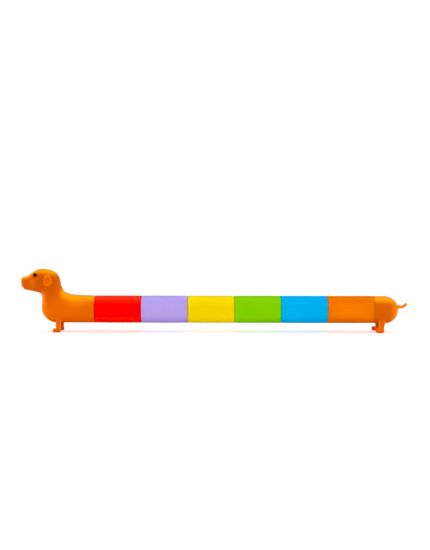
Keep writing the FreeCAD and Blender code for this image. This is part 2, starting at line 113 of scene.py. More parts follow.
# Soft pads of the left half of the face: the middle and size in millimetres, the lift (a dent
# where it is negative) and the way it goes.
FACE_PADS = [
    ((-149.5, -6.4, 49.3), 3.4, 0.35, (0, -0.7, 0.7)),  # brow
    ((-150.8, -7.2, 46.9), 2.2, -0.35, (0, -1, 0)),  # eye hollow
    ((-146.5, -8.6, 40.0), 5.5, 0.45, (0, -1, 0)),  # cheek
    ((-153.5, -6.0, 42.5), 3.5, -0.3, (0, -1, 0)),  # dip between the cheek and the muzzle
    ((-158.5, -4.9, 39.6), 3.4, 0.35, (0, -1, 0)),  # lip
    ((-161.4, -1.7, 43.6), 0.9, -0.5, (-1, 0, 0)),  # nostril
]
PAD_FALLOFF = 2.5

DOME_START = 143.5 * MM
DOME_LENGTH = 11.4 * MM
DOME_DROP = 0.1 * MM

EAR_RADII = (3.55 * MM, 4.9 * MM)
EAR_BACK = 0.35 * MM  # from the CAD ear's middle towards the tail
EAR_NARROWING = 0.1
EAR_POINTS = 72
# From the middle of an ear to its rim: the share of its radii and the height in millimetres.
EAR_PROFILE = [
    (0.0, 0.75), (0.1, 0.68), (0.25, 0.6), (0.4, 0.66), (0.55, 0.95), (0.67, 1.35),
    (0.78, 1.55), (0.88, 1.5), (0.96, 1.15), (1.0, 0.6), (0.985, 0.1), (0.96, -0.5),
]

# The stem and the collar of an eye: the distance along and the radius, in millimetres.
EYE_STEM = [(-1.6, 0.0), (-1.6, 0.8), (-0.1, 0.8), (-0.1, 1.6)]
EYE_START = 0.08
EYE_RADIUS = 1.7
EYE_HEIGHT = 1.2
EYE_AIM = (-0.1, 0.16)  # how far it looks forwards and up, for 1 across

# The skull's left side at the ear and at the eye, where no ray meets it.
SKULL_AT_EAR = -8.5 * MM
SKULL_AT_EYE = -7.0 * MM
FAR_OUTSIDE = 50.0 * MM  # from the middle plane to where the rays start

LIMB_POINTS = 40
LIMB_SQUARENESS = 2.6  # 2 is an ellipse
ROWS_BETWEEN = 5
LEG_VOXEL = 0.2 * MM
LEG_SMOOTHING = 4
SOLE_HEIGHT = 0.12 * MM

# The x and z of the points that steer the tail's curve, in millimetres.
TAIL_PATH = [(151.7, 21.0), (154.3, 21.3), (157.0, 20.8), (159.7, 21.4), (161.4, 23.1)]
TAIL_SHARES = (0.0, 0.5, 1.0)
TAIL_RADII = (1.85 * MM, 1.28 * MM, 1.3 * MM)
TAIL_POINTS = 28

# Edges show where the faces turn by more than this, in degrees.
SHARP_ANGLE = 32.0
EYE_ANGLE = 40.0
SOFT_ANGLE = 60.0


def middle_of(node):
    """The x and z of the middle of a node's box."""
    low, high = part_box(node)
    return (low.x + high.x) / 2, (low.z + high.z) / 2


# ---- mesh helpers ----------------------------------------------------------------------


def add_object(name, mesh):
    """A new object in the scene."""
    thing = bpy.data.objects.new(name, mesh)
    bpy.context.scene.collection.objects.link(thing)
    return thing


def mesh_from(name, points, faces, sharp=SHARP_ANGLE):
    """A clean closed mesh with smooth shading that breaks at edges sharper than the angle."""
    mesh = bpy.data.meshes.new(name)
    mesh.from_pydata([tuple(p) for p in points], [], faces)
    work = bmesh.new()
    work.from_mesh(mesh)
    bmesh.ops.remove_doubles(work, verts=work.verts, dist=1e-7)
    bmesh.ops.dissolve_degenerate(work, edges=work.edges, dist=1e-8)
    bmesh.ops.recalc_face_normals(work, faces=work.faces)
    work.to_mesh(mesh)
    work.free()
    mesh.shade_smooth()
    mesh.set_sharp_from_angle(angle=math.radians(sharp))
    return mesh


def tree_of(mesh):
    """A mesh's faces in a form that finds where a ray meets them."""
    work = bmesh.new()
    work.from_mesh(mesh)
    tree = BVHTree.FromBMesh(work)
    work.free()
    return tree


def join_rows(faces, below, above):
    """Adds the faces between two closed rows of point numbers."""
    for step in range(len(below)):
        following = (step + 1) % len(below)
        faces.append((below[step], below[following], above[following], above[step]))


def profile_radius(angle, corner_share):
    """Distance from the centre to a rounded square of half width 1 along the angle."""
    fold = abs((angle + math.pi / 4) % (math.pi / 2) - math.pi / 4)
    flat = 1.0 - corner_share
    if math.tan(fold) <= flat:
        return 1.0 / math.cos(fold)
    reach = flat * (math.cos(fold) + math.sin(fold))
    return reach + math.sqrt(reach * reach - 2 * flat * flat + corner_share * corner_share)


def full_ring(x, half, corner):
    """A rounded square about the swivel axis, or a circle where corner equals half."""
    points = []
    for step in range(FULL_POINTS):
        angle = 2 * math.pi * step / FULL_POINTS
        reach = half * profile_radius(angle, corner / half)
        points.append((x, reach * math.sin(angle), AXIS_Z + reach * math.cos(angle)))
    return points


def closed_rings(rings):
    """Points and faces of rings joined in a loop, the last one back to the first."""
    count = len(rings[0])
    points = [p for one in rings for p in one]
    rows = [range(row * count, (row + 1) * count) for row in range(len(rings))]
    faces = []
    for below, above in zip(rows, rows[1:] + rows[:1]):
        join_rows(faces, below, above)
    return points, faces


def rim_steps(count=4):
    """Quarter round from the end face (0, 1) to the side (1, 0), as (along, inset) shares."""
    for step in range(count + 1):
        angle = math.pi / 2 * step / count
        yield 1 - math.cos(angle), 1 - math.sin(angle)


# ---- coloured blocks -------------------------------------------------------------------


def bore_rings(face_x, inner_x):
    """The bore of an end wall with small chamfers, from inside outwards."""
    return [
        (inner_x, BORE_RADIUS + BORE_CHAMFER),
        (inner_x - BORE_CHAMFER, BORE_RADIUS),
        (face_x + BORE_CHAMFER, BORE_RADIUS),
        (face_x, BORE_RADIUS + BORE_CHAMFER),
    ]


def block_mesh(name, start):
    """A hollow block whose sides swell very slightly between its rims."""
    end = start + BLOCK_LENGTH
    rings = []
    for x, radius in bore_rings(start, start + END_WALL + COLLAR_LENGTH):
        rings.append(full_ring(x, radius, radius))
    for along, inset in rim_steps():
        shrink = inset * RIM
        rings.append(full_ring(start + along * RIM, HALF_WIDTH - shrink, CORNER - shrink))
    stretches = 14
    for step in range(1, stretches):
        share = step / stretches
        swell = BLOCK_CROWN * math.sin(math.pi * share) ** 0.8
        x = start + RIM + (BLOCK_LENGTH - 2 * RIM) * share
        rings.append(full_ring(x, HALF_WIDTH + swell, CORNER + swell))
    for along, inset in reversed(list(rim_steps())):
        shrink = inset * RIM
        rings.append(full_ring(end - along * RIM, HALF_WIDTH - shrink, CORNER - shrink))
    inner_half = HALF_WIDTH - WALL
    inner_corner = CORNER - WALL
    rings.append(full_ring(end, MOUTH_HALF, MOUTH_CORNER))
    rings.append(full_ring(end - MOUTH_DEPTH, MOUTH_HALF, MOUTH_CORNER))
    rings.append(full_ring(end - MOUTH_DEPTH, inner_half, inner_corner))
    rings.append(full_ring(start + END_WALL, inner_half, inner_corner))
    rings.append(full_ring(start + END_WALL, COLLAR_RADIUS, COLLAR_RADIUS))
    rings.append(full_ring(start + END_WALL + COLLAR_LENGTH, COLLAR_RADIUS, COLLAR_RADIUS))
    points, faces = closed_rings(rings)
    return mesh_from(name, points, faces)


# ---- half shells of the head and the rear ----------------------------------------------


def half_profile(roundness):
    """Half of a rounded square of half width 1, from its top round the -Y side to its bottom."""
    shape = []
    for step in range(HALF_POINTS + 1):
        angle = math.pi * step / HALF_POINTS
        reach = profile_radius(angle, roundness)
        shape.append((-reach * math.sin(angle), reach * math.cos(angle)))
    return shape


def half_ring(section, inset=0.0):
    """One half section of a shell, in metres, drawn in from its outline by inset."""
    top_x, top_z, bottom_x, bottom_z, width, roundness = section
    top = Vector((top_x, 0, top_z)) * MM
    bottom = Vector((bottom_x, 0, bottom_z)) * MM
    middle = (top + bottom) / 2
    up = (top - bottom).normalized()
    high = max((top - bottom).length / 2 - inset, 0.0)
    wide = max(width * MM / 2 - inset, 0.0)
    profile = half_profile(roundness)
    return [middle + up * (z * high) + Vector((0, y * wide, 0)) for y, z in profile]


def pole(point):
    """A half ring drawn together into one point."""
    return [Vector(point)] * (HALF_POINTS + 1)


def smooth_rows(table, knots, between):
    """Rows of numbers with smoothly curved ones added between them."""
    slopes = np.gradient(table, knots, axis=0)
    result = []
    for low in range(len(table) - 1):
        gap = knots[low + 1] - knots[low]
        for step in range(between):
            t = step / between
            near = (1 + 2 * t) * (1 - t) ** 2 * table[low] + t * (1 - t) ** 2 * gap * slopes[low]
            far = t * t * (3 - 2 * t) * table[low + 1] + t * t * (t - 1) * gap * slopes[low + 1]
            result.append(near + far)
    result.append(table[-1])
    return result


def smooth_head_sections():
    """The head's sections with more between them, spaced by their distance along the spine."""
    table = np.array(HEAD_SECTIONS, float)
    spine = (table[:, 0:2] + table[:, 2:4]) / 2
    knots = np.concatenate([[0], np.cumsum(np.linalg.norm(np.diff(spine, axis=0), axis=1))])
    return smooth_rows(table, knots, RINGS_BETWEEN)


def half_shell_mesh(name, rings, side):
    """A closed solid from a loop of half rings, with flat faces in the middle plane."""
    count = len(rings[0])
    points = []
    for one in rings:
        for p in one:
            y = min(p.y, 0.0) - PARTING_GAP
            points.append(Vector((p.x, y if side < 0 else -y, p.z)))
    faces = []
    for row in range(len(rings)):
        below = row * count
        above = (row + 1) % len(rings) * count
        for step in range(count - 1):
            faces.append((below + step, below + step + 1, above + step + 1, above + step))
    faces.append([row * count for row in range(len(rings))])
    faces.append([row * count + count - 1 for row in reversed(range(len(rings)))])
    return mesh_from(name, points, faces)


def straight_section(x, half, corner):
    """A section of the body's rounded square bar at x, in the table's millimetres."""
    top = (AXIS_Z + half) / MM
    bottom = (AXIS_Z - half) / MM
    return (x / MM, top, x / MM, bottom, 2 * half / MM, corner / half)


def face_pad(point, centre, size, lift, direction):
    """How far a soft round pad lifts a point along the direction."""
    away = (point - Vector(centre)).length / size
    return Vector(direction) * (lift * math.exp(-away * away * PAD_FALLOFF))


def sculpt_head(ring):
    """A ring of the head with the pads and dents of the face."""
    shaped = []
    for point in ring:
        moved = point.copy()
        for centre, size, lift, direction in FACE_PADS:
            moved += face_pad(point, Vector(centre) * MM, size * MM, lift * MM, direction)
        if abs(point.y) < 1e-9:
            moved.y = 0.0
        shaped.append(moved)
    return shaped


def head_rings():
    """The loop of half rings of a head shell: outside to the nose, inside back to the mouth."""
    sections = smooth_head_sections()
    rings = []
    for along, inset in rim_steps():
        shrink = inset * RIM
        x = HEAD_END - along * RIM
        rings.append(half_ring(straight_section(x, HALF_WIDTH - shrink, CORNER - shrink)))
    rings += [sculpt_head(half_ring(section)) for section in sections]
    nose = Vector((NOSE_TIP[0], 0, NOSE_TIP[1])) * MM
    last = sections[-1]
    last_ring = rings[-1]
    depth = (last[0] + last[2]) / 2 * MM
    for share in (0.3, 0.6, 0.85, 0.97):
        fall = math.sqrt(1 - share * share)
        cap = [nose + (p - nose) * fall for p in last_ring]
        for p in cap:
            p.x = depth + (nose.x - depth) * share ** 0.7
        rings.append(sculpt_head(cap))
    rings.append(pole(nose))
    # The hollow ends two sections short of the nose, in a point 1.5 mm further on.
    inner = sections[:-2 * RINGS_BETWEEN]
    innermost = inner[-1]
    tip = Vector(((innermost[0] + innermost[2]) / 2 - 1.5, 0, (innermost[1] + innermost[3]) / 2))
    rings.append(pole(tip * MM))
    rings += [half_ring(section, WALL) for section in reversed(inner)]
    mouth_x = HEAD_END - MOUTH_DEPTH
    rings.append(half_ring(straight_section(mouth_x, HALF_WIDTH - WALL, CORNER - WALL)))
    rings.append(half_ring(straight_section(mouth_x, MOUTH_HALF, MOUTH_CORNER)))
    rings.append(half_ring(straight_section(HEAD_END, MOUTH_HALF, MOUTH_CORNER)))
    return rings


def dome_section(angle, inset=0.0):
    """A section of the rounded rear end; the angle runs from 0 at its start to 90 degrees."""
    x = DOME_START + (DOME_LENGTH - inset) * math.sin(angle)
    half = (HALF_WIDTH - inset) * math.cos(angle)
    middle = AXIS_Z - DOME_DROP * math.sin(angle)
    roundness = (CORNER - inset) / (HALF_WIDTH - inset)
    roundness += (1 - roundness) * math.sin(angle) ** 2
    top = (middle + half) / MM
    bottom = (middle - half) / MM
    return (x / MM, top, x / MM, bottom, 2 * half / MM, roundness)


def rear_rings():
    """The loop of half rings of a rear shell, from its bore round the outside and back."""
    rings = []
    for x, radius in bore_rings(REAR_START, REAR_START + END_WALL + COLLAR_LENGTH):
        rings.append(half_ring(straight_section(x, radius, radius)))
    for along, inset in rim_steps():
        shrink = inset * RIM
        x = REAR_START + along * RIM
        rings.append(half_ring(straight_section(x, HALF_WIDTH - shrink, CORNER - shrink)))
    middle = (REAR_START + RIM + DOME_START) / 2
    rings.append(half_ring(straight_section(middle, HALF_WIDTH, CORNER)))
    steps = 22
    angles = [math.pi / 2 * step / steps for step in range(steps)]
    rings += [half_ring(dome_section(angle)) for angle in angles]
    rings.append(pole((DOME_START + DOME_LENGTH, 0, AXIS_Z - DOME_DROP)))
    rings.append(pole((DOME_START + DOME_LENGTH - WALL, 0, AXIS_Z - DOME_DROP)))
    rings += [half_ring(dome_section(angle, WALL)) for angle in reversed(angles)]
    inner_x = REAR_START + END_WALL
    rings.append(half_ring(straight_section(inner_x, HALF_WIDTH - WALL, CORNER - WALL)))
    rings.append(half_ring(straight_section(inner_x, COLLAR_RADIUS, COLLAR_RADIUS)))
    rings.append(
        half_ring(straight_section(inner_x + COLLAR_LENGTH, COLLAR_RADIUS, COLLAR_RADIUS))
    )
    return rings


# ---- screw bosses and wells of the shells ----------------------------------------------


def bar_across(x, z, radius, start, end):
    """A round bar along Y that adds to or cuts a shell, and is thrown away afterwards."""
    work = bmesh.new()
    bmesh.ops.create_cone(
        work, cap_ends=True, segments=48, radius1=radius, radius2=radius, depth=end - start
    )
    matrix = Matrix.Translation((x, (start + end) / 2, z)) @ Matrix.Rotation(math.pi / 2, 4, "X")
    bmesh.ops.transform(work, matrix=matrix, verts=work.verts)
    mesh = bpy.data.meshes.new("bar")
    work.to_mesh(mesh)
    work.free()
    return add_object("bar", mesh)


def boss_under(tree, x, z, side):
    """A boss from the middle plane to half way through the wall of the shell above it."""
    boss = bar_across(x, z, BOSS_RADIUS, *sorted((side * PARTING_GAP, side * HALF_WIDTH)))
    for vertex in boss.data.vertices:
        if abs(vertex.co.y) > HALF_WIDTH / 2:
            outside = Vector((vertex.co.x, side * 2 * HALF_WIDTH, vertex.co.z))
            hit = tree.ray_cast(outside, Vector((0, -side, 0)))
            vertex.co.y = hit[0].y - side * WALL / 2
    return boss


def with_screw_wells(mesh, screws, side):
    """A half shell with a boss for each screw, and on the right side the wells they sit in."""
    blank = add_object(mesh.name + "_blank", mesh)
    tree = tree_of(mesh)
    bars = []
    for x, z in screws:
        bars.append((boss_under(tree, x, z, side), "UNION"))
        ends = sorted((-side * MM, side * SCREW_SEAT))
        bars.append((bar_across(x, z, SCREW_HOLE_RADIUS, *ends), "DIFFERENCE"))
        if side > 0:
            well = bar_across(x, z, SCREW_WELL_RADIUS, SCREW_SEAT, HALF_WIDTH + MM)
            bars.append((well, "DIFFERENCE"))
    for bar, operation in bars:
        step = blank.modifiers.new("step", "BOOLEAN")
        step.object = bar
        step.operation = operation
        step.solver = "EXACT"
    graph = bpy.context.evaluated_depsgraph_get()
    carved = bpy.data.meshes.new_from_object(blank.evaluated_get(graph))
    for thing in [blank] + [bar for bar, operation in bars]:
        used = thing.data
        bpy.data.objects.remove(thing)
        bpy.data.meshes.remove(used)
    carved.shade_smooth()
    carved.set_sharp_from_angle(angle=math.radians(SHARP_ANGLE))
    return carved


# ---- soft pieces fused from simple forms -----------------------------------------------


def ball(centre, radii):
    """A stretched ball in millimetres."""
    work = bmesh.new()
    bmesh.ops.create_icosphere(work, subdivisions=4, radius=1.0)
    matrix = Matrix.Translation(Vector(centre) * MM)
    matrix @= Matrix.Diagonal((radii[0] * MM, radii[1] * MM, radii[2] * MM, 1))
    bmesh.ops.transform(work, matrix=matrix, verts=work.verts)
    return work


def limb(stations):
    """A soft column through stations of x, y, z, radius along X and radius along Y, in mm."""
    work = bmesh.new()
    count = LIMB_POINTS
    power = LIMB_SQUARENESS
    knots = np.arange(len(stations), dtype=float)
    previous = None
    for x, y, z, rx, ry in smooth_rows(np.array(stations, float), knots, ROWS_BETWEEN):
        row = []
        for step in range(count):
            angle = 2 * math.pi * step / count
            cosine, sine = math.cos(angle), math.sin(angle)
            reach = (abs(cosine) ** power + abs(sine) ** power) ** (-1 / power)
            place = Vector((x + rx * reach * cosine, y + ry * reach * sine, z)) * MM
            row.append(work.verts.new(place))
        if previous:
            for step in range(count):
                following = (step + 1) % count
                work.faces.new((previous[step], previous[following], row[following], row[step]))
        else:
            work.faces.new(list(reversed(row)))
        previous = row
    work.faces.new(previous)
    bmesh.ops.recalc_face_normals(work, faces=work.faces)
    return work


def fuse_soft(name, forms, mirror):
    """One smooth closed skin over several overlapping forms, mirrored to the other side or not."""
    work = bmesh.new()
    for form in forms:
        part = bpy.data.meshes.new("form")
        form.to_mesh(part)
        form.free()
        work.from_mesh(part)
        bpy.data.meshes.remove(part)
    mesh = bpy.data.meshes.new(name + "_forms")
    work.to_mesh(mesh)
    work.free()
    holder = add_object(name + "_forms", mesh)
    remesh = holder.modifiers.new("skin", "REMESH")
    remesh.mode = "VOXEL"
    remesh.voxel_size = LEG_VOXEL
    remesh.use_smooth_shade = True
    relax = holder.modifiers.new("relax", "SMOOTH")
    relax.factor = 0.5
    relax.iterations = LEG_SMOOTHING
    graph = bpy.context.evaluated_depsgraph_get()
    skin = bpy.data.meshes.new_from_object(holder.evaluated_get(graph))
    skin.name = name
    if mirror:
        skin.transform(Matrix.Diagonal((1, -1, 1, 1)))
        skin.flip_normals()
    skin.shade_smooth()
    bpy.data.objects.remove(holder)
    bpy.data.meshes.remove(mesh)
    return skin


def leg_forms(toe_x, middle_y, column, balls):
    """Forms of a left leg. Its column and balls are placed from the tip of its toes, in mm."""
    forms = [limb([(toe_x + x, middle_y + y, z, rx, ry) for x, y, z, rx, ry in column])]
    for x, y, z, rx, ry, rz in balls:
        forms.append(ball((toe_x + x, middle_y + y, z), (rx, ry, rz)))
    return forms


def toe_row(x, z, radius, spread):
    """Three toes side by side, the middle one a little further out."""
    return [(x + abs(y) * 0.25, y * spread, z, radius, 1.0, radius) for y in (-1, 0, 1)]


def front_leg_forms(toe_x, middle_y):
    """The left front leg: shoulder inside the chest, slim shin, and a foot with toes."""
    column = [
        (4.8, 0.6, 16.0, 3.4, 2.3),
        (4.7, 0.4, 14.0, 3.3, 2.35),
        (4.5, 0.3, 11.8, 3.0, 2.3),
        (4.25, 0.3, 9.0, 2.3, 2.1),
        (4.15, 0.1, 6.0, 1.9, 2.05),
        (4.1, 0, 3.2, 1.8, 2.0),
        (4.1, 0, 0.9, 1.8, 2.0),
    ]
    foot = (3.2, 0, 1.85, 3.0, 2.3, 1.85)
    heel = (4.6, 0, 1.5, 1.75, 2.1, 1.5)
    balls = [foot, *toe_row(1.2, 1.75, 1.75, 1.5), heel]
    return leg_forms(toe_x, middle_y, column, balls)


def rear_leg_forms(toe_x, middle_y):
    """The left rear leg: a haunch that stands proud of the flank, a shin and a foot."""
    column = [
        (5.8, -0.5, 18.5, 3.7, 2.1),
        (5.7, -1.15, 16.0, 4.1, 2.1),
        (5.55, -1.2, 13.4, 3.9, 2.3),
        (5.4, -0.6, 10.5, 3.2, 2.2),
        (5.2, 0.1, 7.6, 2.45, 2.1),
        (5.05, 0.2, 5.2, 2.0, 2.1),
        (5.0, 0, 3.0, 1.8, 2.1),
        (5.05, 0, 0.9, 1.7, 2.1),
    ]
    foot = (3.9, 0, 1.9, 3.3, 2.4, 1.9)
    heel = (5.2, 0, 1.5, 1.8, 2.2, 1.5)
    balls = [foot, *toe_row(1.6, 1.9, 1.8, 1.55), heel]
    return leg_forms(toe_x, middle_y, column, balls)


def leg_place(node):
    """Where a left leg's toes end, and its middle across, in millimetres."""
    low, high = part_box(node)
    return low.x / MM, (low.y + high.y) / 2 / MM


def flatten_sole(mesh):
    """Presses the sole flat onto the floor."""
    for vertex in mesh.vertices:
        if vertex.co.z < SOLE_HEIGHT:
            vertex.co.z = 0.0
    mesh.update()


# ---- ears, eyes and tail ---------------------------------------------------------------


def surface_under(tree, x, z, fallback):
    """The y of the skull's left side at x and z, or the fallback where there is none."""
    hit = tree.ray_cast(Vector((x, -FAR_OUTSIDE, z)), Vector((0, 1, 0)))
    return hit[0].y if hit[0] is not None else fallback


def ear_place():
    """The x and z of the middle of an ear."""
    x, z = middle_of("left_ear")
    return x + EAR_BACK, z


def ear_mesh(name, tree, side):
    """A drop-shaped ear that follows the skull, with a rolled rim around a shallow dish."""
    x0, z0 = ear_place()
    wide, high = EAR_RADII
    count = EAR_POINTS
    centre_y = surface_under(tree, x0, z0, SKULL_AT_EAR)
    points, rows = [], []
    for share, lift in EAR_PROFILE:
        rows.append(range(len(points), len(points) + count))
        for step in range(count):
            angle = 2 * math.pi * step / count
            narrowing = 1 - EAR_NARROWING * math.sin(angle)
            x = x0 + wide * share * math.cos(angle) * narrowing
            z = z0 + high * share * math.sin(angle)
            skin = surface_under(tree, x, z, centre_y)
            if share > 0.9:  # the rim follows the skull less where that falls away
                skin = 0.35 * skin + 0.65 * max(skin, centre_y)
            points.append(Vector((x, (skin - lift * MM) * -side, z)))
    faces = [rows[-1]]
    for below, above in zip(rows, rows[1:]):
        join_rows(faces, below, above)
    return mesh_from(name, points, faces, SOFT_ANGLE)


def turned_mesh(name, outline, centre, axis, sharp):
    """A form turned about an axis through centre. The outline is (distance along, radius) in
    millimetres, and starts and ends on the axis."""
    turn = Vector((0, 0, 1)).rotation_difference(Vector(axis))
    count = 64
    points, rows = [], []
    for along, radius in outline:
        rows.append(range(len(points), len(points) + count))
        for step in range(count):
            angle = 2 * math.pi * step / count
            local = Vector((radius * math.cos(angle), radius * math.sin(angle), along)) * MM
            points.append(Vector(centre) + turn @ local)
    faces = []
    for below, above in zip(rows, rows[1:]):
        join_rows(faces, below, above)
    return mesh_from(name, points, faces, sharp)


def eye_mesh(name, tree, side):
    """A polished bead with a thin collar where it meets the skull."""
    x, z = middle_of("left_eye")
    y = surface_under(tree, x, z, SKULL_AT_EYE)
    outline = EYE_STEM + [(EYE_START, EYE_RADIUS)]
    steps = 10
    for step in range(1, steps + 1):
        angle = math.pi / 2 * step / steps
        outline.append((EYE_START + EYE_HEIGHT * math.sin(angle), EYE_RADIUS * math.cos(angle)))
    centre = Vector((x, y * -side, z))
    return turned_mesh(name, outline, centre, (EYE_AIM[0], side, EYE_AIM[1]), EYE_ANGLE)


def tail_line(name):
    """The points along the middle of the tail."""
    curve = bpy.data.curves.new(name, "CURVE")
    curve.dimensions = "3D"
    spline = curve.splines.new("NURBS")
    spline.points.add(len(TAIL_PATH) - 1)
    for point, (x, z) in zip(spline.points, TAIL_PATH):
        point.co = (x * MM, 0, z * MM, 1)
    spline.order_u = 3
    spline.use_endpoint_u = True
    spline.resolution_u = 10
    holder = add_object(name, curve)
    graph = bpy.context.evaluated_depsgraph_get()
    line = bpy.data.meshes.new_from_object(holder.evaluated_get(graph))
    path = [v.co.copy() for v in line.vertices]
    bpy.data.objects.remove(holder)
    bpy.data.meshes.remove(line)
    return path


def tail_mesh(name):
    """The thin curled tail, tapering to a round tip."""
    path = tail_line(name + "_line")
    points, rows = [], []

    def add_row(centre, forward, radius):
        """A ring of points square to the way the tail goes."""
        side = Vector((0, 1, 0))
        up = side.cross(forward).normalized()
        rows.append(range(len(points), len(points) + TAIL_POINTS))
        for step in range(TAIL_POINTS):
            angle = 2 * math.pi * step / TAIL_POINTS
            points.append(centre + (side * math.cos(angle) + up * math.sin(angle)) * radius)

    for index, centre in enumerate(path):
        ahead = path[min(index + 1, len(path) - 1)]
        behind = path[max(index - 1, 0)]
        forward = (ahead - behind).normalized()
        add_row(centre, forward, np.interp(index / (len(path) - 1), TAIL_SHARES, TAIL_RADII))
    tip_radius = TAIL_RADII[-1]
    tip_rows = 6
    for step in range(1, tip_rows + 1):
        angle = math.pi / 2 * step / tip_rows
        centre = path[-1] + forward * tip_radius * math.sin(angle)
        add_row(centre, forward, tip_radius * math.cos(angle))
    faces = []
    for below, above in zip(rows, rows[1:]):
        join_rows(faces, below, above)
    faces.append(rows[0][::-1])
    return mesh_from(name, points, faces, SOFT_ANGLE)


# ---- materials -------------------------------------------------------------------------

DRIFT_SCALE = 45.0
GLOSS_SCALE = 160.0
PEEL_SCALE = 2600.0
PEEL_DEPTH = 0.2 * MM
MARKS_SCALE = 1800.0

# Facings that take painted light or shade: axis or pair of axes, where it starts and is full.
# Painted light or shade on the rounded long edges.
LONG_EDGE_SHADING = ("Y", "Z", 0.1, 0.5)
# Painted light from above on up-facing surfaces.
TOP_LIGHT = ("Z", None, 0.3, 0.85)
# Painted light on surfaces that face the nose.
FORWARD_LIGHT = ("X", None, -0.15, -0.8)
# Painted light on surfaces that face either end.
TAIL_END_LIGHT = ("X", "X", -0.1, 0.6)
# Painted rim highlight on leg edges that face either end.
LEG_RIM_LIGHT = ("X", "X", 0.5, 0.97)


def to_linear(red, green, blue):
    """Linear values of a colour given from 0 to 255."""
    values = []
    for channel in (red, green, blue):
        share = channel / 255
        values.append(share / 12.92 if share <= 0.04045 else ((share + 0.055) / 1.055) ** 2.4)
    return (*values, 1.0)


def new_material(name):
    """A new material with its node tree and its shader."""
    material = bpy.data.materials.new(name)
    material.use_nodes = True
    tree = material.node_tree
    shader = tree.nodes["Principled BSDF"]
    return material, tree, shader


def add_noise(tree, where, scale, detail):
    """Noise that is fixed to the object."""
    noise = tree.nodes.new("ShaderNodeTexNoise")
    noise.inputs["Scale"].default_value = scale
    noise.inputs["Detail"].default_value = detail
    noise.inputs["Roughness"].default_value = 0.55
    tree.links.new(where.outputs["Object"], noise.inputs["Vector"])
    return noise


def map_range(tree, value, start, end, low=0.0, high=1.0, smooth=True):
    """Runs from low to high as the value runs from start to end."""
    share = tree.nodes.new("ShaderNodeMapRange")
    share.interpolation_type = "SMOOTHSTEP" if smooth else "LINEAR"
    share.inputs["From Min"].default_value = start
    share.inputs["From Max"].default_value = end
    share.inputs["To Min"].default_value = low
    share.inputs["To Max"].default_value = high
    tree.links.new(value, share.inputs["Value"])
    return share.outputs["Result"]


# Masks where painted light or shade goes by the way the surface faces.
def painted_light_by_facing(tree, where, first, second, start, end):
    """From 0 to 1 as the surface's own normal turns. Its part along the first axis runs from
    start to end, or where there is a second axis the size of the product of both parts does."""
    facing = tree.nodes.new("ShaderNodeSeparateXYZ")
    tree.links.new(where.outputs["Normal"], facing.inputs["Vector"])
    if not second:
        return map_range(tree, facing.outputs[first], start, end)
    product = tree.nodes.new("ShaderNodeMath")
    product.operation = "MULTIPLY"
    tree.links.new(facing.outputs[first], product.inputs[0])
    tree.links.new(facing.outputs[second], product.inputs[1])
    size = tree.nodes.new("ShaderNodeMath")
    size.operation = "ABSOLUTE"
    tree.links.new(product.outputs["Value"], size.inputs[0])
    return map_range(tree, size.outputs["Value"], start, end)


def two_tones(tree, noise, low, high, start=0.0, end=1.0):
    """A colour that goes from low to high with the noise."""
    ramp = tree.nodes.new("ShaderNodeValToRGB")
    for stop, position, colour in zip(ramp.color_ramp.elements, (start, end), (low, high)):
        stop.position = position
        stop.color = colour
    tree.links.new(noise.outputs["Fac"], ramp.inputs["Fac"])
    return ramp.outputs["Color"]


def mottle(tree, noise, colour, spread):
    """A colour that drifts a little lighter and darker with the noise."""
    base = to_linear(*colour)[:3]
    darker = tuple(c * (1 - spread) for c in base) + (1,)
    lighter = tuple(min(c * (1 + spread), 1) for c in base) + (1,)
    return two_tones(tree, noise, darker, lighter, 0.3, 0.7)


def blend_tone(tree, amount, under, over):
    """One colour laid over another by the amount."""
    mix = tree.nodes.new("ShaderNodeMixRGB")
    tree.links.new(amount, mix.inputs["Fac"])
    tree.links.new(under, mix.inputs["Color1"])
    tree.links.new(over, mix.inputs["Color2"])
    return mix.outputs["Color"]


# Masks round patches of painted light or shade.
def painted_patch_fade(tree, where, centre, radii, start, end):
    """From 0 to 1 with the distance from a centre in the side view, as shares of the radii."""
    offset = tree.nodes.new("ShaderNodeVectorMath")
    offset.operation = "SUBTRACT"
    offset.inputs[1].default_value = (centre[0], 0, centre[1])
    tree.links.new(where.outputs["Object"], offset.inputs[0])
    scaled = tree.nodes.new("ShaderNodeVectorMath")
    scaled.operation = "MULTIPLY"
    scaled.inputs[1].default_value = (1 / radii[0], 0, 1 / radii[1])
    tree.links.new(offset.outputs["Vector"], scaled.inputs[0])
    away = tree.nodes.new("ShaderNodeVectorMath")
    away.operation = "LENGTH"
    tree.links.new(scaled.outputs["Vector"], away.inputs[0])
    return map_range(tree, away.outputs["Value"], start, end)


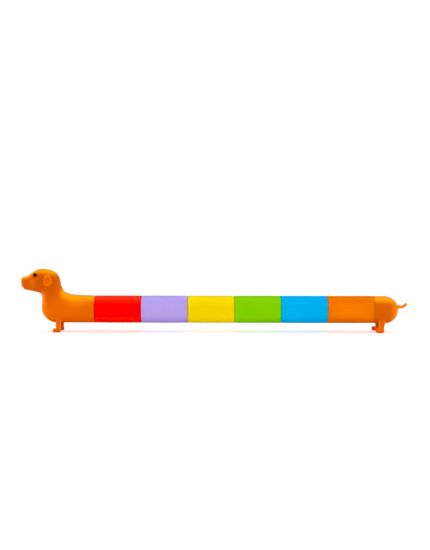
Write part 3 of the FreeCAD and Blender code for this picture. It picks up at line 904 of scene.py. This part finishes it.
def moulded_plastic(
    name, colour, roughness, facing_light_colour=None, facing_light_on=LONG_EDGE_SHADING, ends=None, end_light_on=None,
    light_and_shade_patches=(), painted_shade_spot=None, specular=0.2, coat=0.0, grain=0.06, spread=0.04,
):
    """Moulded plastic: a drift of colour with round patches of painted light and shade in it,
    painted light where the surface faces the ends, painted light or shade where it faces a
    given way, a round patch of painted shade over them, uneven gloss and a fine orange peel. A
    patch is its colour, its middle and radii in the side view, and the shares of the radii
    between which it fades out."""
    material, tree, shader = new_material(name)
    where = tree.nodes.new("ShaderNodeTexCoord")
    drift = add_noise(tree, where, DRIFT_SCALE, 3.0)
    plain = mottle(tree, drift, colour, spread)
    # Round patches of painted light and shade.
    for patch_colour, centre, radii, start, end in light_and_shade_patches:
        outside = painted_patch_fade(tree, where, centre, radii, start, end)
        plain = blend_tone(tree, outside, mottle(tree, drift, patch_colour, spread), plain)
    # Painted light where the surface faces the ends.
    if ends:
        facing = painted_light_by_facing(tree, where, *end_light_on)
        plain = blend_tone(tree, facing, plain, mottle(tree, drift, ends, spread))
    # Painted light or shade where the surface faces a given way.
    if facing_light_colour:
        facing = painted_light_by_facing(tree, where, *facing_light_on)
        plain = blend_tone(tree, facing, plain, mottle(tree, drift, facing_light_colour, spread))
    # A round patch of painted shade laid over the rest.
    if painted_shade_spot:
        painted_shade_colour, centre, radii, start, end = painted_shade_spot
        outside = painted_patch_fade(tree, where, centre, radii, start, end)
        plain = blend_tone(tree, outside, mottle(tree, drift, painted_shade_colour, spread), plain)
    tree.links.new(plain, shader.inputs["Base Color"])
    gloss = add_noise(tree, where, GLOSS_SCALE, 5.0).outputs["Fac"]
    uneven = map_range(tree, gloss, 0.0, 1.0, roughness * 0.9, roughness * 1.12, smooth=False)
    tree.links.new(uneven, shader.inputs["Roughness"])
    peel = add_noise(tree, where, PEEL_SCALE, 2.0)
    bump = tree.nodes.new("ShaderNodeBump")
    bump.inputs["Strength"].default_value = grain
    bump.inputs["Distance"].default_value = PEEL_DEPTH
    tree.links.new(peel.outputs["Fac"], bump.inputs["Height"])
    tree.links.new(bump.outputs["Normal"], shader.inputs["Normal"])
    shader.inputs["Specular IOR Level"].default_value = specular
    shader.inputs["Coat Weight"].default_value = coat
    shader.inputs["Coat Roughness"].default_value = 0.12
    return material


def steel_material(name):
    """Zinc-plated steel with fine turning marks."""
    material, tree, shader = new_material(name)
    where = tree.nodes.new("ShaderNodeTexCoord")
    marks = add_noise(tree, where, MARKS_SCALE, 6.0)
    colour = two_tones(tree, marks, (0.38, 0.38, 0.4, 1), (0.62, 0.62, 0.65, 1))
    tree.links.new(colour, shader.inputs["Base Color"])
    gloss = map_range(tree, marks.outputs["Fac"], 0.0, 1.0, 0.22, 0.4, smooth=False)
    tree.links.new(gloss, shader.inputs["Roughness"])
    shader.inputs["Metallic"].default_value = 1.0
    return material


# Painted light colours that several mouldings share, from 0 to 255.
# Painted light from above.
TOP_LIGHT_ORANGE = (255, 158, 24)
# Painted light on surfaces that face the ends.
END_LIGHT_ORANGE = (244, 128, 6)
# Painted rim highlight on the legs.
LEG_RIM_HIGHLIGHT = (255, 168, 96)

# Painted shade on the side of the skull and painted light on the shoulder.
HEAD_LIGHT_AND_SHADE = [
    ((205, 94, 4), (-143.0 * MM, 40.0 * MM), (22.0 * MM, 17.0 * MM), 0.4, 1.3),
    ((236, 127, 5), (-113.0 * MM, 28.4 * MM), (16.0 * MM, 9.0 * MM), 0.2, 1.1),
]
# Painted light in the middle of the orange block, so that its ends look darker.
ORANGE_BLOCK_MIDDLE_LIGHT = ((244, 128, 4), middle_of("orange_block"), (21.0 * MM, 90.0 * MM), 0.35, 1.0)
# The middle and the painted shade of the rear leg's haunch.
HAUNCH = (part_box("rear_left_leg")[0].x + 6.0 * MM, 15.0 * MM)
HAUNCH_SHADE = ((208, 97, 5), HAUNCH, (8.0 * MM, 5.0 * MM), 0.2, 1.2)
PLASTICS = {
    # The head: painted light from above and towards the nose, and patches of painted light and
    # shade.
    "dog_orange": moulded_plastic(
        "dog_orange", (224, 107, 4), 0.36, TOP_LIGHT_ORANGE, TOP_LIGHT, END_LIGHT_ORANGE, FORWARD_LIGHT, HEAD_LIGHT_AND_SHADE
    ),
    # Painted highlight on the long edges of the red, yellow and green blocks, painted shade on
    # those of the purple, blue and orange ones.
    "red_block": moulded_plastic(
        "red_block", (250, 5, 4), 0.34, (255, 50, 34), ("Y", "Z", 0.02, 0.45)
    ),
    "purple_block": moulded_plastic("purple_block", (181, 161, 232), 0.5, (175, 158, 234)),
    "yellow_block": moulded_plastic("yellow_block", (239, 208, 8), 0.36, (243, 215, 14)),
    "green_block": moulded_plastic("green_block", (129, 205, 6), 0.36, (135, 204, 8)),
    "blue_block": moulded_plastic("blue_block", (4, 176, 237), 0.5, (5, 173, 237)),
    "orange_block": moulded_plastic(
        "orange_block", (231, 118, 4), 0.5, (233, 116, 6), light_and_shade_patches=[ORANGE_BLOCK_MIDDLE_LIGHT]
    ),
    "inner_plastic": moulded_plastic("inner_plastic", (224, 224, 220), 0.45),
    "eye_black": moulded_plastic(
        "eye_black", (30, 32, 30), 0.14, specular=0.5, coat=0.4, grain=0.01
    ),
    "steel": steel_material("steel"),
}
# The rear: a base darker than the head's orange as painted shade on its flank, painted light from
# above and painted light on the faces towards either end.
REAR_ORANGE = moulded_plastic(
    "rear_orange", (210, 101, 6), 0.34, (252, 156, 28), ("Z", None, 0.2, 0.75),
    END_LIGHT_ORANGE, TAIL_END_LIGHT,
)
TAIL_ORANGE = moulded_plastic("tail_orange", (250, 136, 10), 0.36)
# The ears: a base lighter than the head's orange as painted light, painted light from above, and
# painted shade in the middle of the dish.
EAR_ORANGE = moulded_plastic(
    "ear_orange", (238, 120, 6), 0.36, (250, 145, 20), TOP_LIGHT,
    painted_shade_spot=((223, 103, 8), ear_place(), EAR_RADII, 0.42, 0.7),
)
# The legs: painted light from above and a painted rim highlight on the edges facing either end;
# the rear ones also painted shade on the haunch.
FRONT_LEG_ORANGE = moulded_plastic(
    "front_leg_orange", (229, 106, 4), 0.36, TOP_LIGHT_ORANGE, TOP_LIGHT, LEG_RIM_HIGHLIGHT, LEG_RIM_LIGHT
)
REAR_LEG_ORANGE = moulded_plastic(
    "rear_leg_orange", (230, 108, 4), 0.36, TOP_LIGHT_ORANGE, TOP_LIGHT, LEG_RIM_HIGHLIGHT, LEG_RIM_LIGHT,
    painted_shade_spot=HAUNCH_SHADE,
)
SLOT_OF = {item["node"]: item["material_slot"] for item in frame["record"]["subparts"]}


def add_piece(name, mesh, body, node, material=None):
    """A new piece that takes the place of a CAD node and stands for its material slot."""
    thing = add_object(name, mesh)
    slot = SLOT_OF[node]
    thing.data.materials.clear()
    thing.data.materials.append(material or PLASTICS[slot])
    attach(thing, body)
    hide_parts(node)
    return thing


# ---- assembly --------------------------------------------------------------------------

for node, thing in frame["nodes"].items():
    thing.data.materials.clear()
    thing.data.materials.append(PLASTICS[SLOT_OF[node]])

for colour in COLOURED:
    mesh = block_mesh(f"{colour}_shell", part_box(f"{colour}_block")[0].x)
    add_piece(f"{colour}_shell", mesh, colour, f"{colour}_block")

head_loop = head_rings()
rear_loop = rear_rings()
legs = [
    ("front", "head", front_leg_forms, FRONT_LEG_ORANGE),
    ("rear", "rear", rear_leg_forms, REAR_LEG_ORANGE),
]
for word, side in (("left", -1), ("right", 1)):
    mesh = half_shell_mesh(f"head_{word}_skin", head_loop, side)
    mesh = with_screw_wells(mesh, HEAD_SCREWS, side)
    add_piece(f"head_{word}_skin", mesh, "head", f"head_{word}_shell")
    if side < 0:
        left_skull = tree_of(mesh)
    mesh = half_shell_mesh(f"rear_{word}_skin", rear_loop, side)
    mesh = with_screw_wells(mesh, REAR_SCREWS, side)
    add_piece(f"rear_{word}_skin", mesh, "rear", f"rear_{word}_shell", REAR_ORANGE)
    mesh = ear_mesh(f"{word}_ear_flap", left_skull, side)
    add_piece(f"{word}_ear_flap", mesh, "head", f"{word}_ear", EAR_ORANGE)
    mesh = eye_mesh(f"{word}_eye_bead", left_skull, side)
    add_piece(f"{word}_eye_bead", mesh, "head", f"{word}_eye")
    for end, body, forms_of, material in legs:
        forms = forms_of(*leg_place(f"{end}_left_leg"))
        mesh = fuse_soft(f"{end}_{word}_paw", forms, side > 0)
        flatten_sole(mesh)
        add_piece(f"{end}_{word}_paw", mesh, body, f"{end}_{word}_leg", material)
add_piece("tail_curl", tail_mesh("tail_curl"), "rear", "tail", TAIL_ORANGE)

# ---- floor, lights and camera ----------------------------------------------------------

WARM = (1.0, 0.72, 0.3)
BLACK_LEVEL = 0.035
SET_RADIUS = 6.0
BOUNCE_DEPTH = 0.2 * MM
# The room's brightness from straight down at 0 to straight up at 1.
ROOM_LEVELS = [(0.0, 0.5), (0.25, 0.6), (0.45, 0.95), (0.65, 1.0), (0.8, 0.45), (1.0, 0.35)]
ROOM_POWER = 1.6
ROOM_POWER_MIRRORED = 0.55
CAMERA_LENS = 49.1
CAMERA_PLACE = (0.0005, -0.6305, 0.079)
CAMERA_DIP = 2.84
CAMERA_ROLL = -0.1


def square_mesh(name, z):
    """A level square as large as the set."""
    mesh = bpy.data.meshes.new(name)
    reach = SET_RADIUS
    corners = [(-reach, -reach), (reach, -reach), (reach, reach), (-reach, reach)]
    mesh.from_pydata([(x, y, z) for x, y in corners], [], [(0, 1, 2, 3)])
    return mesh


def add_sheet(name, mesh, albedo, glow=0.0):
    """A matt sheet of the set that reflects a share of the light and may glow white."""
    sheet = add_object(name, mesh)
    material, tree, shader = new_material(name)
    shader.inputs["Base Color"].default_value = (albedo, albedo, albedo, 1)
    shader.inputs["Roughness"].default_value = 0.9
    shader.inputs["Specular IOR Level"].default_value = 0.0
    shader.inputs["Emission Color"].default_value = (1, 1, 1, 1)
    shader.inputs["Emission Strength"].default_value = glow
    mesh.materials.append(material)
    return sheet


def keep_light_off(sheet):
    """Stops a sheet from lighting or shading the dog."""
    sheet.visible_diffuse = False
    sheet.visible_glossy = False
    sheet.visible_shadow = False


def add_floor():
    """Plain white paper."""
    keep_light_off(add_sheet("floor", square_mesh("floor", 0), 0.8, 0.4))


def add_bounce():
    """Plain paper again, unseen by the lens, that throws light up at the dog's underside."""
    sheet = add_sheet("bounce", square_mesh("bounce", -BOUNCE_DEPTH), 0.85)
    sheet.visible_camera = False


def add_backdrop():
    """A white dome around the whole set."""
    work = bmesh.new()
    bmesh.ops.create_icosphere(work, subdivisions=4, radius=SET_RADIUS)
    bmesh.ops.reverse_faces(work, faces=work.faces)
    mesh = bpy.data.meshes.new("backdrop")
    work.to_mesh(mesh)
    work.free()
    keep_light_off(add_sheet("backdrop", mesh, 0.0, 1.05))


def add_world():
    """Soft light from a bright band all round at the dog's height, dimmer above and below,
    and held back where the plastic mirrors it."""
    world = bpy.data.worlds.new("room")
    bpy.context.scene.world = world
    world.use_nodes = True
    tree = world.node_tree
    background = tree.nodes["Background"]
    where = tree.nodes.new("ShaderNodeTexCoord")
    split = tree.nodes.new("ShaderNodeSeparateXYZ")
    tree.links.new(where.outputs["Generated"], split.inputs["Vector"])
    height = map_range(tree, split.outputs["Z"], -1.0, 1.0, smooth=False)
    ramp = tree.nodes.new("ShaderNodeValToRGB")
    tree.links.new(height, ramp.inputs["Fac"])
    stops = ramp.color_ramp.elements
    for stop, (position, level) in zip(stops, (ROOM_LEVELS[0], ROOM_LEVELS[-1])):
        stop.position = position
        stop.color = (level, level, level, 1)
    for position, level in ROOM_LEVELS[1:-1]:
        stops.new(position).color = (level, level, level, 1)
    tree.links.new(ramp.outputs["Color"], background.inputs["Color"])
    mirrored = tree.nodes.new("ShaderNodeLightPath").outputs["Is Glossy Ray"]
    power = map_range(tree, mirrored, 0.0, 1.0, ROOM_POWER, ROOM_POWER_MIRRORED, smooth=False)
    tree.links.new(power, background.inputs["Strength"])


def add_softbox(name, place, target, size, power, colour=(1, 1, 1)):
    """A large flat lamp that looks at the target."""
    lamp = bpy.data.lights.new(name, "AREA")
    lamp.shape = "RECTANGLE"
    lamp.size, lamp.size_y = size
    lamp.energy = power
    lamp.color = colour
    thing = bpy.data.objects.new(name, lamp)
    bpy.context.scene.collection.objects.link(thing)
    thing.location = place
    aim = Vector(target) - Vector(place)
    thing.rotation_mode = "QUATERNION"
    thing.rotation_quaternion = aim.to_track_quat("-Z", "Y")


def add_camera():
    """The photographer's place: level with the dog's head, a little above its back."""
    camera = bpy.data.cameras.new("camera")
    camera.sensor_width = 36.0
    camera.lens = CAMERA_LENS
    camera.clip_start = 0.01
    camera.clip_end = 100
    thing = bpy.data.objects.new("camera", camera)
    bpy.context.scene.collection.objects.link(thing)
    thing.location = CAMERA_PLACE
    thing.rotation_mode = "XYZ"
    thing.rotation_euler = (math.radians(90 - CAMERA_DIP), math.radians(CAMERA_ROLL), 0)
    bpy.context.scene.camera = thing


def set_tones():
    """Plain colours with a slightly deepened black, as in a bright product picture."""
    settings = bpy.context.scene.view_settings
    settings.view_transform = "Standard"
    settings.use_curve_mapping = True
    settings.curve_mapping.black_level = (BLACK_LEVEL,) * 3
    settings.curve_mapping.update()


add_floor()
add_bounce()
add_backdrop()
add_world()
add_softbox("overhead", (0, 0.1, 0.9), (0, 0, 0), (1.0, 0.4), 2.0)
add_softbox("head side", (-1.0, -0.25, 0.15), (-0.15, 0, 0.03), (0.4, 0.4), 1.5, WARM)
add_softbox("tail side", (1.0, -0.25, 0.15), (0.15, 0, 0.03), (0.4, 0.4), 1.5, WARM)
add_camera()
set_tones()
